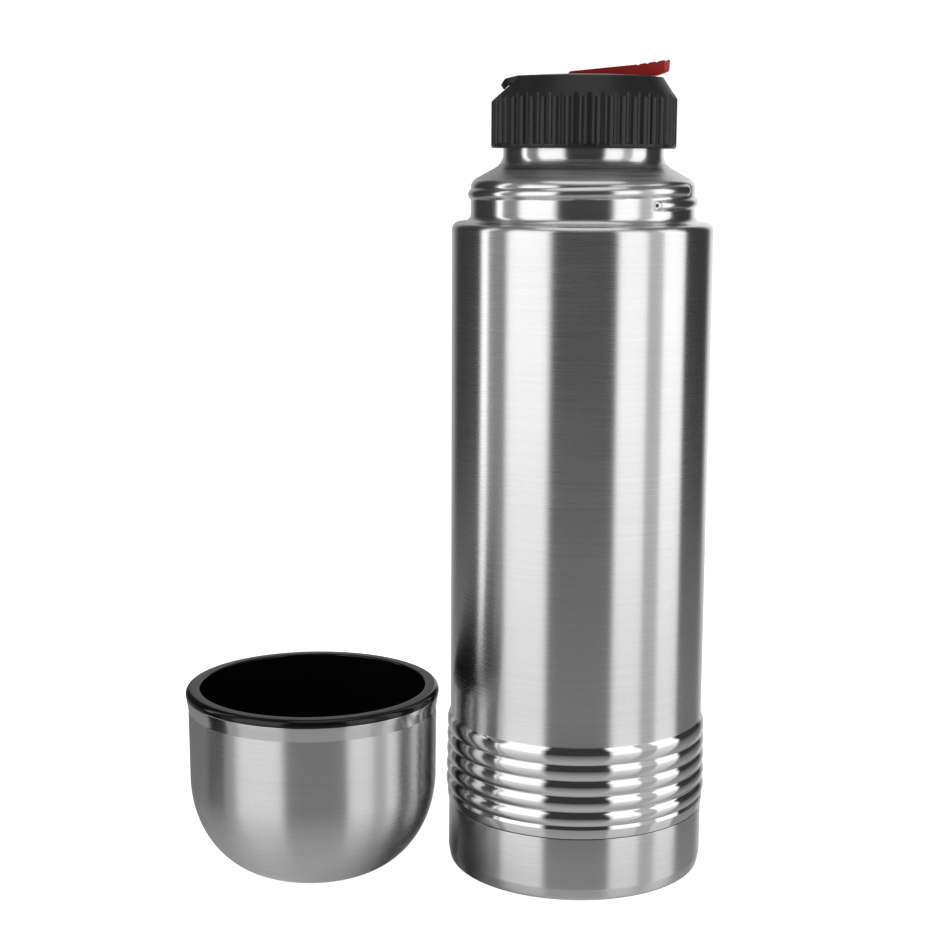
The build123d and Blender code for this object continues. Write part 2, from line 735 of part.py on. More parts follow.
LINER_OUT_R = LINER_IN_R + LINER_WALL
liner_out = bowl(
    LINER_OUT_R,
    CUP_FLAT_R,
    LINER_FLOOR - LINER_WALL,
    [
        (LINER_OUT_R, CUP_RIM_Z - 1.0),
        (LIP_IN_R - RUNNING, CUP_RIM_Z - 1.0),
        (LIP_IN_R - RUNNING, CUP_RIM_Z),
        (CUP_RIM_R, CUP_RIM_Z),
        (CUP_RIM_R, CUP_TOP),
        (CUP_RIM_R - 1.2, CUP_TOP),
    ],
    [0, 0, 0, 0, 1.1],
)
liner_in = bowl(
    LINER_IN_R,
    CUP_FLAT_R,
    LINER_FLOOR,
    [(LINER_IN_R, CUP_TOP - 0.6), (LINER_IN_R + 0.6, CUP_TOP)],
    [0],
)
liner_rib = Pos(CUP_X, CUP_Y, 0) * thread_rib(
    LINER_IN_R, LINER_RIB_CREST, CUP_PITCH, LINER_RIB_TURN_DEG, LINER_RIB_DEG, LINER_RIB_Z, half=0.8
)
lip_slot = ring(
    LIP_IN_R - RUNNING, CUP_LIP_R + RUNNING, CUP_RIM_Z - 1.2, SHELL_LIP_Z + RUNNING, CUP_PLANE
)

with BuildPart() as cup_liner:
    revolve(liner_out, axis=CUP_AXIS)
    revolve(lip_slot, axis=CUP_AXIS, mode=Mode.SUBTRACT)
    revolve(liner_in, axis=CUP_AXIS, mode=Mode.SUBTRACT)
    add(liner_rib)
cup_liner.part.label = "cup_liner"

# ---- write the pieces ----------------------------------------------------------------
PIECES = [
    outer_shell,
    base_cup,
    bottom_plate,
    vacuum_seal,
    inner_vessel,
    inner_vessel_bottom,
    radiation_foil,
    getter,
    stopper_cap,
    plug_body,
    plug_insulation,
    plug_base,
    stem_seal,
    neck_seal,
    lever,
    lever_pin,
    valve_stem,
    valve_seal,
    spring_retainer,
    valve_spring,
    cup_shell,
    cup_liner,
]
os.makedirs("parts", exist_ok=True)
for piece in PIECES:
    export_step(piece.part, f"parts/{piece.part.label}.step")
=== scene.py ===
from math import cos, pi, radians, sin, tan

import bmesh
import bpy
from mathutils import Matrix, Vector


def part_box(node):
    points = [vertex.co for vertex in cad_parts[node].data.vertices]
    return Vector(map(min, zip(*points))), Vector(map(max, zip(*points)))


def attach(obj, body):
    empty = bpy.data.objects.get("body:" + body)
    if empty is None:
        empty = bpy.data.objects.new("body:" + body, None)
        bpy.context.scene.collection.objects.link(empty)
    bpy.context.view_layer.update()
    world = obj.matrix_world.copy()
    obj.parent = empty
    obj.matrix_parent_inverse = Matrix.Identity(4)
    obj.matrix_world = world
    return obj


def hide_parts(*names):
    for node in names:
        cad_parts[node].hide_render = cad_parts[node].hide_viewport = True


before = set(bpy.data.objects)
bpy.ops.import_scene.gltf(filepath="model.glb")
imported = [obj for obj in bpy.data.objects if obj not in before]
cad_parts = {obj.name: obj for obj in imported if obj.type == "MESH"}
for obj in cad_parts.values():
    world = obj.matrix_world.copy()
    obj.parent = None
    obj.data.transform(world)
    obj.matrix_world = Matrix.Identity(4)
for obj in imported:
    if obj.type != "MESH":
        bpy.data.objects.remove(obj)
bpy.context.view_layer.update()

# Vacuum flask and its drinking cup. Profiles are in millimetres, as (radius, height).
MM = 0.001
SEGMENTS = 256  # facets round each turned piece
ARC_STEP = radians(9)  # turn between two points of a rounding
RUN = 9.0  # longest straight step along a profile

# ---- driving dimensions -----------------------------------------------------------------
# They are the CAD's own, but for NECK_ROUND and CUP_RIM_ROUND, which are larger here, GRIP_HALF,
# which is smaller, and LEVER_CORNER and LEVER_EDGE, which the CAD's lever doesn't have.
STEEL = 0.6
BODY_R = 40.0
BASE_R = 40.45
BASE_TOP = 19.95
BASE_FLOOR = 1.2
BASE_TAPER_Z = 4.0
GROOVE_R = 26.0
GROOVE_W = 4.0
GROOVE_H = 0.5
BAND_R = 40.95
BAND_FOOT_R = 40.65
RIB_COUNT = 5
RIB_PITCH = 4.9
RIB_FIRST_Z = 26.2
RIB_CREST_R = 41.3
RIB_CREST_STEP = 0.085
RIB_VALLEY_R = 40.5
RIB_FOOT_R = RIB_VALLEY_R + 0.12
RIB_HALF = 2.0
RIB_LEAD = 0.9  # height of the slope from the last rib to the body
RIB_LAST_Z = RIB_FIRST_Z + (RIB_COUNT - 1) * RIB_PITCH
SHELL_FOOT_R = BASE_R - STEEL - 0.05
SHELL_FOOT_Z = 5.2

SHOULDER_Z = 203.8
SHOULDER_ROUND = 2.2
COLLAR_R = 34.2
COLLAR_ROOT_ROUND = 2.6
COLLAR_TOP = 216.0
COLLAR_ROUND = 2.8
NECK_R = 24.4
NECK_Z = 221.5
NECK_ROUND = 4.8
CONE_SKIN_DROP = 0.35
SHELL_TOP = 238.8
CUP_PITCH = 4.0
BEAD_R = 1.8
BEAD_PATH_R = 35.1 - BEAD_R
BEAD_START_DEG = -52.0
BEAD_START_Z = 209.52
BEAD_TURN_DEG = 384.0
STARTS = 3
STOPPER_LEAD = 12.0
NECK_THREAD_Z = 230.6
NECK_THREAD_DEG = 150.0
NECK_THREAD_CREST = 25.65

CUP_WALL_R = 38.8
CUP_NECK_R = 39.0
CUP_BOWL_Z = 30.5
CUP_FLAT_R = 13.5
CUP_STEEL = 0.5
CUP_BAND_Z = 52.6
CUP_RIM_Z = 57.0
CUP_RIM_R = 39.75
CUP_RIM_ROUND = 1.7
CUP_TOP = 59.33
LINER_IN_R = 35.35
LINER_RIB_CREST = 34.45
LINER_WALL = 1.4
LINER_FLOOR = 3.4
LINER_RIB_Z = 47.9
LINER_RIB_DEG = -9.0
LINER_RIB_TURN_DEG = 570.0

LEVER_HALF = 5.5
LEVER_CORNER = 1.8
LEVER_EDGE = 0.3
GRIP_FIRST_X = 15.8
GRIP_STEP = 2.8
GRIP_NOTCHES = 4
GRIP_HALF = 0.6
LEVER_BEND = (14.4, 250.8)
LEVER_TIP = (25.5, 252.5)
LEVER_TIP_LOW = (25.2, 248.9)

cup_low, cup_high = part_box("cup_shell")
CUP_CENTRE = ((cup_low + cup_high) / 2).xy


# ---- profiles ---------------------------------------------------------------------------
def corners(*points):
    """Points along (radius, height[, rounding]) corners, where each rounding is an arc."""
    line = [Vector(points[0][:2])]
    for before, corner, after in zip(points, points[1:], points[2:]):
        here = Vector(corner[:2])
        rounding = corner[2] if len(corner) > 2 else 0
        if not rounding:
            line.append(here)
            continue
        back = (Vector(before[:2]) - here).normalized()
        onward = (Vector(after[:2]) - here).normalized()
        turn = pi - back.angle(onward)
        reach = rounding * tan(turn / 2)
        centre = here + (back + onward).normalized() * rounding / cos(turn / 2)
        first, last = here + back * reach - centre, here + onward * reach - centre
        steps = max(2, round(turn / ARC_STEP))
        for n in range(steps + 1):
            part = turn * n / steps
            line.append(centre + (first * sin(turn - part) + last * sin(part)) / sin(turn))
    line.append(Vector(points[-1][:2]))
    return line


def bow(start, end, rise, steps=10):
    """Points on the arc from start to end that stands rise to the right of the chord."""
    start, end = Vector(start), Vector(end)
    chord = end - start
    half = chord.length / 2
    radius = (half * half + rise * rise) / (2 * abs(rise))
    side = Vector((chord.y, -chord.x)).normalized() * (1 if rise > 0 else -1)
    centre = (start + end) / 2 - side * (radius - abs(rise))
    first, last = start - centre, end - centre
    turn = first.angle(last)
    arc = []
    for n in range(steps + 1):
        part = turn * n / steps
        arc.append(centre + (first * sin(turn - part) + last * sin(part)) / sin(turn))
    return arc


def quarter_bowl(wall_r, flat_r, floor_z, steps=18):
    """Points from the flat floor up the elliptical bowl to the wall."""
    line = []
    for n in range(steps + 1):
        turn = pi / 2 * n / steps
        line.append(Vector((
            flat_r + (wall_r - flat_r) * sin(turn),
            CUP_BOWL_Z - (CUP_BOWL_Z - floor_z) * cos(turn),
        )))
    return line


def divided(line, longest, low=-1e9, high=1e9):
    """The line without repeated points, its steps between two heights no longer than longest."""
    made = [line[0]]
    for point in line[1:]:
        step = (point - made[-1]).length
        if step < 1e-4:
            continue
        inside = low <= (point.y + made[-1].y) / 2 <= high
        parts = max(1, -int(-step // (longest if inside else RUN)))
        start = made[-1]
        made += [start.lerp(point, n / parts) for n in range(1, parts + 1)]
    return made


def soft_max(a, b, width):
    """The larger of two radii, with a fillet of about that width where they meet."""
    near = max(width - abs(a - b), 0) / width
    return max(a, b) + near * near * width / 4


# ---- meshes -----------------------------------------------------------------------------
def finished(name, mesh, materials, sharp_deg=32):
    """An object of that mesh, smooth but for its sharp edges."""
    for material in materials:
        mesh.materials.append(material)
    mesh.shade_smooth()
    mesh.set_sharp_from_angle(angle=radians(sharp_deg))
    piece = bpy.data.objects.new(name, mesh)
    bpy.context.scene.collection.objects.link(piece)
    return piece


def lathe(name, outer, inner, materials, zone=None, shape=None, lining=None, centre=(0, 0)):
    """A closed turned piece: outer runs up its outside and inner down its inside.

    shape and lining give a vertex's radius from (angle in degrees, radius, height) on each side,
    and zone a face's material number from its height and side.
    """
    line = [(p, True) for p in outer] + [(p, False) for p in inner]
    vertices, rings = [], []
    for point, outside in line:
        radius, height = point
        change = shape if outside else lining
        if radius < 1e-6:
            rings.append([len(vertices)])
            vertices.append((centre[0], centre[1], height * MM))
            continue
        rings.append(list(range(len(vertices), len(vertices) + SEGMENTS)))
        for n in range(SEGMENTS):
            angle = 360 * n / SEGMENTS
            r = change(angle, radius, height) if change else radius
            turn = radians(angle)
            vertices.append((centre[0] + r * MM * cos(turn), centre[1] + r * MM * sin(turn), height * MM))
    faces, numbers = [], []
    starts_on_axis = len(rings[0]) == 1
    for i in range(len(rings) - 1 if starts_on_axis else len(rings)):
        lower, upper = rings[i], rings[(i + 1) % len(rings)]
        middle = (line[i][0].y + line[(i + 1) % len(line)][0].y) / 2
        number = zone(middle, line[i][1] and line[(i + 1) % len(line)][1]) if zone else 0
        for n in range(SEGMENTS):
            after = (n + 1) % SEGMENTS
            if len(lower) == 1:
                faces.append((lower[0], upper[after], upper[n]))
            elif len(upper) == 1:
                faces.append((lower[n], lower[after], upper[0]))
            else:
                faces.append((lower[n], lower[after], upper[after], upper[n]))
            numbers.append(number)
    mesh = bpy.data.meshes.new(name)
    mesh.from_pydata(vertices, [], faces)
    mesh.polygons.foreach_set("material_index", numbers)
    mesh.validate()
    return finished(name, mesh, materials)


def helix_offset(angle, start_deg, turn_deg):
    """How far round a helical rib an azimuth lies, once for each turn of it, and how far past its end."""
    travelled = (angle - start_deg) % 360
    found = []
    for turns in (-1, 0, 1):
        along = travelled + 360 * turns
        inside = min(max(along, 0), turn_deg)
        found.append((inside, along - inside))
    return found


def bead_shape(angle, radius, height):
    """The cup thread: a round bead rolled out of the collar, with domed ends."""
    if not SHOULDER_Z + 1 < height < NECK_Z - 2:
        return radius
    for along, past in helix_offset(angle, BEAD_START_DEG, BEAD_TURN_DEG):
        across = height - BEAD_START_Z - CUP_PITCH * along / 360
        beyond = radians(past) * BEAD_PATH_R
        rise = BEAD_R**2 - across**2 - beyond**2
        if rise > 0:
            radius = soft_max(radius, BEAD_PATH_R + rise**0.5, 0.5)
    return radius


def rib_height(across, past_deg, tall, crest_half, foot_half, fade_deg=7.0):
    """How far a moulded or rolled thread rib stands out, fading at its ends."""
    flank = (foot_half - abs(across)) / (foot_half - crest_half)
    level = min(max(flank, 0), 1)
    level = level * level * (3 - 2 * level)
    end = min(max(1 - abs(past_deg) / fade_deg, 0), 1)
    return tall * level * end * end * (3 - 2 * end)


def neck_shape(angle, radius, height):
    """The collar's bead below and the stopper's three thread starts above."""
    if height < NECK_Z + 4:
        return bead_shape(angle, radius, height)
    stand = 0.0
    for start in range(STARTS):
        for along, past in helix_offset(angle, 360 / STARTS * start, NECK_THREAD_DEG):
            across = height - NECK_THREAD_Z - STOPPER_LEAD * along / 360
            stand = max(stand, rib_height(across, past, NECK_THREAD_CREST - NECK_R, 0.4, 1.05))
    return radius + stand


def liner_shape(angle, radius, height):
    """The cup's inside thread, which climbs a little over one and a half turns."""
    if height < CUP_BOWL_Z + 8 or radius > LINER_IN_R + 0.1:
        return radius
    stand = 0.0
    for along, past in helix_offset(angle, LINER_RIB_DEG, LINER_RIB_TURN_DEG):
        across = height - LINER_RIB_Z - CUP_PITCH * along / 360
        stand = max(stand, rib_height(across, past, LINER_IN_R - LINER_RIB_CREST, 0.35, 0.85, 4.0))
    return radius - stand


# ---- shader building --------------------------------------------------------------------
class Finish:
    """A Principled material with its own socket values and procedural detail."""

    def __init__(self, name, colour, **settings):
        self.material = bpy.data.materials.new(name)
        self.material.use_nodes = True
        self.tree = self.material.node_tree
        self.shader = self.tree.nodes["Principled BSDF"]
        self.colour = colour
        self.set("Base Color", (*colour, 1))
        for key, value in settings.items():
            self.set(key.replace("_", " ").title().replace("Ior", "IOR"), value)

    def set(self, socket, value):
        self.shader.inputs[socket].default_value = value

    def node(self, kind, **values):
        made = self.tree.nodes.new(kind)
        for key, value in values.items():
            setattr(made, key, value)
        return made

    def link(self, source, target):
        self.tree.links.new(source, target)

    def noise(self, scale, detail=2.0, roughness=0.5, distortion=0.0):
        """Noise in object space; scale is in cells per metre along x, y and z."""
        place = self.node("ShaderNodeTexCoord")
        stretch = self.node("ShaderNodeMapping")
        stretch.inputs["Scale"].default_value = scale
        noise = self.node("ShaderNodeTexNoise")
        noise.inputs["Scale"].default_value = 1.0
        noise.inputs["Detail"].default_value = detail
        noise.inputs["Roughness"].default_value = roughness
        noise.inputs["Distortion"].default_value = distortion
        self.link(place.outputs["Object"], stretch.inputs["Vector"])
        self.link(stretch.outputs["Vector"], noise.inputs["Vector"])
        return noise.outputs["Fac"]

    def spread(self, source, low, high, start=0.3, end=0.7):
        """The source's middle values spread between low and high."""
        span = self.node("ShaderNodeMapRange")
        span.inputs["From Min"].default_value = start
        span.inputs["From Max"].default_value = end
        span.inputs["To Min"].default_value = low
        span.inputs["To Max"].default_value = high
        self.link(source, span.inputs["Value"])
        return span.outputs["Result"]

    def sum(self, *sources):
        """The sum of several values."""
        total = sources[0]
        for source in sources[1:]:
            add = self.node("ShaderNodeMath", operation="ADD")
            self.link(total, add.inputs[0])
            self.link(source, add.inputs[1])
            total = add.outputs["Value"]
        return total

    def rough(self, source):
        self.link(source, self.shader.inputs["Roughness"])

    def shade(self, source, dark, light):
        """The base colour runs from dark times it to light times it with the source."""
        ramp = self.node("ShaderNodeMix", data_type="RGBA")
        ramp.inputs["A"].default_value = (*(c * dark for c in self.colour), 1)
        ramp.inputs["B"].default_value = (*(c * light for c in self.colour), 1)
        self.link(source, ramp.inputs["Factor"])
        self.link(ramp.outputs["Result"], self.shader.inputs["Base Color"])

    def bump(self, source, height_mm, edge_mm=0.0):
        """Relief of that height, over edges rounded off by edge_mm."""
        bump = self.node("ShaderNodeBump")
        bump.inputs["Distance"].default_value = height_mm * MM
        self.link(source, bump.inputs["Height"])
        if edge_mm:
            bevel = self.node("ShaderNodeBevel", samples=6)
            bevel.inputs["Radius"].default_value = edge_mm * MM
            self.link(bevel.outputs["Normal"], bump.inputs["Normal"])
        self.link(bump.outputs["Normal"], self.shader.inputs["Normal"])

    def turned(self, anisotropy):
        """Highlights stretch along the axis, across grain that runs round the piece."""
        tangent = self.node("ShaderNodeTangent", direction_type="RADIAL", axis="Z")
        self.link(tangent.outputs["Tangent"], self.shader.inputs["Tangent"])
        self.set("Anisotropic", anisotropy)
        self.set("Anisotropic Rotation", 0.25)


# ---- finishes ---------------------------------------------------------------------------
def brushed(name, tone, roughness, anisotropy=0.95, streak=0.05, relief=0.0005, lines_per_m=8000):
    """Stainless sheet brushed round its axis: hairlines, broader streaks and a few rubbed places."""
    steel = Finish(name, (tone, tone, tone * 1.01), metallic=1.0, roughness=roughness)
    steel.turned(anisotropy)
    hairline = steel.noise((30, 30, lines_per_m), detail=2, roughness=0.6)
    streaks = steel.noise((14, 14, lines_per_m / 6), detail=2)
    rubbed = steel.noise((24, 24, 16), detail=3, roughness=0.6)
    steel.rough(steel.sum(
        steel.spread(hairline, roughness - 0.035, roughness + 0.035),
        steel.spread(rubbed, -0.02, 0.025),
    ))
    lines = steel.sum(steel.spread(hairline, 0, 0.62), steel.spread(streaks, 0, 0.38))
    steel.shade(lines, 1 - streak, 1 + streak)
    steel.bump(hairline, relief)
    return steel.material


def polished(name, tone, roughness, anisotropy=0.5):
    """Buffed stainless with faint turning lines and a slight haze."""
    steel = Finish(name, (tone, tone, tone * 1.01), metallic=1.0, roughness=roughness)
    steel.turned(anisotropy)
    lines = steel.noise((20, 20, 2600), detail=2)
    haze = steel.noise((60, 60, 40), detail=3)
    steel.rough(steel.sum(
        steel.spread(lines, roughness - 0.015, roughness + 0.02), steel.spread(haze, -0.01, 0.015)
    ))
    steel.shade(lines, 0.97, 1.02)
    steel.bump(lines, 0.0008)
    return steel.material


def plain_metal(name, colour, roughness, grain=(900, 900, 900), relief=0.004):
    """Metal with an even fine grain, as formed, soldered or drawn pieces have."""
    metal = Finish(name, colour, metallic=1.0, roughness=roughness)
    fine = metal.noise(grain, detail=4, roughness=0.6)
    broad = metal.noise(tuple(g / 12 for g in grain), detail=2)
    metal.rough(metal.spread(broad, roughness - 0.05, roughness + 0.08))
    metal.shade(fine, 0.86, 1.1)
    metal.bump(fine, relief)
    return metal.material


def moulded(name, colour, roughness, grain_mm=0.25, relief=0.012, edge=0.2, **settings):
    """Moulded plastic or rubber: a fine spark-eroded texture, with sheen that varies a little."""
    plastic = Finish(name, colour, roughness=roughness, **settings)
    cells = 1 / (grain_mm * MM)
    fine = plastic.noise((cells, cells, cells), detail=3, roughness=0.55)
    broad = plastic.noise((70, 70, 70), detail=2)
    plastic.rough(plastic.sum(
        plastic.spread(broad, roughness - 0.04, roughness + 0.04), plastic.spread(fine, -0.03, 0.03)
    ))
    plastic.shade(plastic.sum(plastic.spread(fine, 0, 0.5), plastic.spread(broad, 0, 0.5)), 0.88, 1.12)
    plastic.bump(fine, relief, edge)
    return plastic.material


body_steel = brushed("body_steel", 0.72, 0.25)
base_steel = brushed("base_steel", 0.72, 0.23)
cup_steel = brushed("cup_steel", 0.70, 0.30)
band_steel = polished("band_steel", 0.72, 0.07, 0.3)
collar_steel = brushed("collar_steel", 0.72, 0.22, 0.85, 0.05, 0.0003)
cone_steel = brushed("cone_steel", 0.62, 0.34, 0.6, 0.22, 0.03, 1600)
cup_band_steel = polished("cup_band_steel", 0.66, 0.17, 0.6)
# Painted shade: the shell's steel foot is coloured dark so that the seam gap above the base cup reads as
# shaded.
seam_painted_shade = plain_metal("seam_painted_shade", (0.12, 0.12, 0.125), 0.5)
vessel_steel = polished("vessel_steel", 0.62, 0.2, 0.6)
plate_steel = plain_metal("plate_steel", (0.5, 0.5, 0.51), 0.36)
solder = plain_metal("solder_tin", (0.62, 0.62, 0.6), 0.3, (400, 400, 400), 0.02)
copper = plain_metal("copper_foil_sheet", (0.79, 0.42, 0.27), 0.28, (300, 300, 1200), 0.01)
getter_metal = plain_metal("getter_pill", (0.33, 0.32, 0.3), 0.55, (2500, 2500, 2500), 0.02)
pin_steel = plain_metal("pin_metal", (0.6, 0.6, 0.6), 0.25, (300, 3000, 300))
spring_steel = plain_metal("spring_wire", (0.56, 0.56, 0.55), 0.28, (1500, 1500, 4000))
black_plastic = moulded("stopper_plastic", (0.009, 0.009, 0.0095), 0.38, edge=0.28)
red_plastic = moulded("lever_plastic", (0.38, 0.015, 0.013), 0.36, 0.3, 0.008, 0.12, coat_weight=0.15)
grey_plastic = moulded("plug_plastic", (0.13, 0.13, 0.135), 0.42)
foam = moulded("insulating_foam", (0.75, 0.72, 0.62), 0.9, 0.9, 0.15, 0.0)
silicone = moulded("seal_silicone", (0.55, 0.56, 0.57), 0.45, 0.5, 0.006, 0.15, subsurface_weight=0.25)
silicone.node_tree.nodes["Principled BSDF"].inputs["Subsurface Scale"].default_value = 0.6 * MM
gloss_black = moulded("liner_plastic", (0.004, 0.004, 0.0042), 0.12, 2.5, 0.003, 0.0, specular_ior_level=0.38)


# ---- flask ------------------------------------------------------------------------------
def shell_outside():
    """Foot in the base cup, smooth band, five rolled ribs, body, shoulder, collar, cone and neck."""
    line = corners(
        (SHELL_FOOT_R, SHELL_FOOT_Z),
        (SHELL_FOOT_R, BASE_TOP + 0.2),
        (BAND_FOOT_R, BASE_TOP + 0.2, 0.4),
        (BAND_R, RIB_FIRST_Z - RIB_HALF - 1.1, 0.5),
        (RIB_FOOT_R, RIB_FIRST_Z - RIB_HALF),
    )
    for number in range(RIB_COUNT):
        crest_z = RIB_FIRST_Z + number * RIB_PITCH
        crest_r = RIB_CREST_R - number * RIB_CREST_STEP
        low, high = (RIB_FOOT_R, crest_z - RIB_HALF), (RIB_FOOT_R, crest_z + RIB_HALF)
        line += bow(low, high, crest_r - RIB_FOOT_R, 14)
        if number < RIB_COUNT - 1:
            line += bow(high, (RIB_FOOT_R, crest_z + RIB_PITCH - RIB_HALF), RIB_VALLEY_R - RIB_FOOT_R, 5)
    line += corners(
        (RIB_FOOT_R, RIB_LAST_Z + RIB_HALF),
        (BODY_R, RIB_LAST_Z + RIB_HALF + RIB_LEAD, 0.5),
        (BODY_R, SHOULDER_Z, SHOULDER_ROUND),
        (COLLAR_R, SHOULDER_Z, COLLAR_ROOT_ROUND),
        (COLLAR_R, COLLAR_TOP, COLLAR_ROUND),
        (NECK_R, NECK_Z, NECK_ROUND),
        (NECK_R, SHELL_TOP),
    )
    return divided(line, 0.28, SHOULDER_Z + 2.0, SHELL_TOP)


def shell_inside():
    """The inner face of the sheet, from the neck down to the foot."""
    return divided(corners(
        (NECK_R - STEEL, SHELL_TOP),
        (NECK_R - STEEL, NECK_Z - CONE_SKIN_DROP, NECK_ROUND + STEEL),
        (COLLAR_R - STEEL, COLLAR_TOP - CONE_SKIN_DROP, COLLAR_ROUND - STEEL),
        (COLLAR_R - STEEL, SHOULDER_Z - STEEL, COLLAR_ROOT_ROUND + STEEL),
        (BODY_R - STEEL, SHOULDER_Z - STEEL, SHOULDER_ROUND - STEEL),
        (BODY_R - STEEL, RIB_LAST_Z + RIB_HALF + RIB_LEAD, 0.5),
        (RIB_VALLEY_R - STEEL, RIB_LAST_Z + 1.4, 0.5),
        (RIB_VALLEY_R - STEEL, BASE_TOP + 1.6, 0.3),
        (SHELL_FOOT_R - STEEL, BASE_TOP + 0.6, 0.3),
        (SHELL_FOOT_R - STEEL, SHELL_FOOT_Z),
    ), RUN)


def shell_zone(height, outside):
    """0 brushed body, 1 polished ribs and band, 2 collar and neck, 3 the foot in the seam, steel painted dark
    as shade, 4 cone.
    """
    if height < BASE_TOP + 0.15:
        return 3
    if height < RIB_LAST_Z + RIB_HALF + 0.7:
        return 1
    if height < SHOULDER_Z - 1.0:
        return 0
    return 4 if COLLAR_TOP + 0.7 < height < NECK_Z - 0.2 else 2


outer_shell = lathe(
    "flask_shell", shell_outside(), shell_inside(),
    [body_steel, band_steel, collar_steel, seam_painted_shade, cone_steel], shell_zone, shape=neck_shape,
)
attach(outer_shell, "flask")
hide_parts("outer_shell")

base_outside = corners(
    (0, 0),
    (GROOVE_R, 0, 0.15),
    (GROOVE_R, GROOVE_H, 0.15),
    (GROOVE_R + GROOVE_W, GROOVE_H, 0.15),
    (GROOVE_R + GROOVE_W, 0, 0.15),
    (BASE_R - 0.7, 0, 1.5),
    (BASE_R, BASE_TAPER_Z, 2.0),
    (BASE_R, BASE_TOP, 0.16),
    (SHELL_FOOT_R, BASE_TOP),
)
base_inside = corners(
    (SHELL_FOOT_R, BASE_TOP - 0.05),
    (SHELL_FOOT_R, BASE_TAPER_Z, 1.5),
    (SHELL_FOOT_R - 0.9, BASE_FLOOR, 1.5),
    (0, BASE_FLOOR),
)
base_cup = lathe("base_shell", divided(base_outside, RUN), divided(base_inside, RUN), [base_steel])
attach(base_cup, "flask")
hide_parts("base_cup")

# ---- cup --------------------------------------------------------------------------------
LIP_IN_R = CUP_RIM_R - 1.0 - CUP_STEEL
SHELL_LIP_Z = CUP_RIM_Z + 0.9
cup_outside = [Vector((0, 0))] + quarter_bowl(CUP_WALL_R, CUP_FLAT_R, 0, 30) + corners(
    (CUP_WALL_R, CUP_BOWL_Z),
    (CUP_NECK_R, CUP_BAND_Z - 1),
    (CUP_NECK_R, CUP_BAND_Z, 0.9),
    (CUP_RIM_R - 0.05, CUP_RIM_Z, 0.12),
    (CUP_RIM_R - 1.0, CUP_RIM_Z + 0.02),
    (CUP_RIM_R - 1.0, SHELL_LIP_Z),
)
cup_inside = corners(
    (LIP_IN_R, SHELL_LIP_Z),
    (LIP_IN_R, CUP_RIM_Z - 1.0, 0.3),
    (CUP_NECK_R - CUP_STEEL, CUP_RIM_Z - 1.6, 0.3),
    (CUP_NECK_R - CUP_STEEL, CUP_BAND_Z - 1),
    (CUP_WALL_R - CUP_STEEL, CUP_BOWL_Z),
) + quarter_bowl(CUP_WALL_R - CUP_STEEL, CUP_FLAT_R, CUP_STEEL)[::-1] + [Vector((0, CUP_STEEL))]


def cup_zone(height, outside):
    """0 brushed wall and bowl, 1 polished flare under the rim."""
    return 1 if height > CUP_BAND_Z - 0.1 else 0


cup_shell = lathe(
    "cup_outer", divided(cup_outside, 2.5), divided(cup_inside, RUN),
    [cup_steel, cup_band_steel], cup_zone, centre=CUP_CENTRE,
)
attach(cup_shell, "cup")
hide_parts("cup_shell")

LINER_OUT_R = LINER_IN_R + LINER_WALL
liner_outside = [Vector((0, LINER_FLOOR - LINER_WALL))] + quarter_bowl(
    LINER_OUT_R, CUP_FLAT_R, LINER_FLOOR - LINER_WALL
) + corners(
    (LINER_OUT_R, CUP_BOWL_Z),
    (LINER_OUT_R, CUP_RIM_Z - 1.0),
    (LIP_IN_R - 0.05, CUP_RIM_Z - 1.0),
    (LIP_IN_R - 0.05, SHELL_LIP_Z + 0.05),
    (CUP_RIM_R - 0.95, SHELL_LIP_Z + 0.05),
    (CUP_RIM_R - 0.95, CUP_RIM_Z + 0.05),
    (CUP_RIM_R, CUP_RIM_Z + 0.05, 0.15),
    (CUP_RIM_R, CUP_TOP, CUP_RIM_ROUND),
    (LINER_IN_R + 1.4, CUP_TOP),
)
liner_inside = corners(
    (LINER_IN_R + 1.3, CUP_TOP), (LINER_IN_R, CUP_TOP, 0.55), (LINER_IN_R, CUP_BOWL_Z)
) + quarter_bowl(LINER_IN_R, CUP_FLAT_R, LINER_FLOOR, 26)[::-1] + [Vector((0, LINER_FLOOR))]
cup_liner = lathe(
    "cup_inner", divided(liner_outside, RUN), divided(liner_inside, 0.22, LINER_RIB_Z - 2, CUP_TOP - 1),
    [gloss_black], lining=liner_shape, centre=CUP_CENTRE,
)
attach(cup_liner, "cup")
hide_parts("cup_liner")


# ---- lever ------------------------------------------------------------------------------
def lever_outline():
    """Side view of the lever as (x, z), with round grip grooves across its raised end."""
    slope = (LEVER_TIP[1] - LEVER_BEND[1]) / (LEVER_TIP[0] - LEVER_BEND[0])
    line = corners(
        (-10.75, 246.6), (-10.75, 244.9, 0.5), (-9.9, 244.35, 0.6), (-7.9, 244.35, 0.6), (-6.3, 246.4, 0.8),
        (2.2, 246.4, 1.0), (22.0, 247.8, 2.0), (*LEVER_TIP_LOW, 0.8), (*LEVER_TIP, 0.45),
        (LEVER_TIP[0] - 0.6, LEVER_TIP[1] - 0.6 * slope),
    )
    for number in reversed(range(GRIP_NOTCHES)):
        edges = []
        for side in (GRIP_HALF, -GRIP_HALF):
            x = GRIP_FIRST_X + number * GRIP_STEP + side
            edges.append((x, LEVER_BEND[1] + slope * (x - LEVER_BEND[0])))
        line += bow(*edges, -0.3, 8)
    line += corners(
        (LEVER_BEND[0] + 0.5, LEVER_BEND[1] + 0.5 * slope), (*LEVER_BEND, 1.5), (-4.6, 248.85, 0.8),
        (-6.0, 247.4, 1.0), (-10.75, 247.25, 1.2), (-10.75, 246.7),
    )
    return line


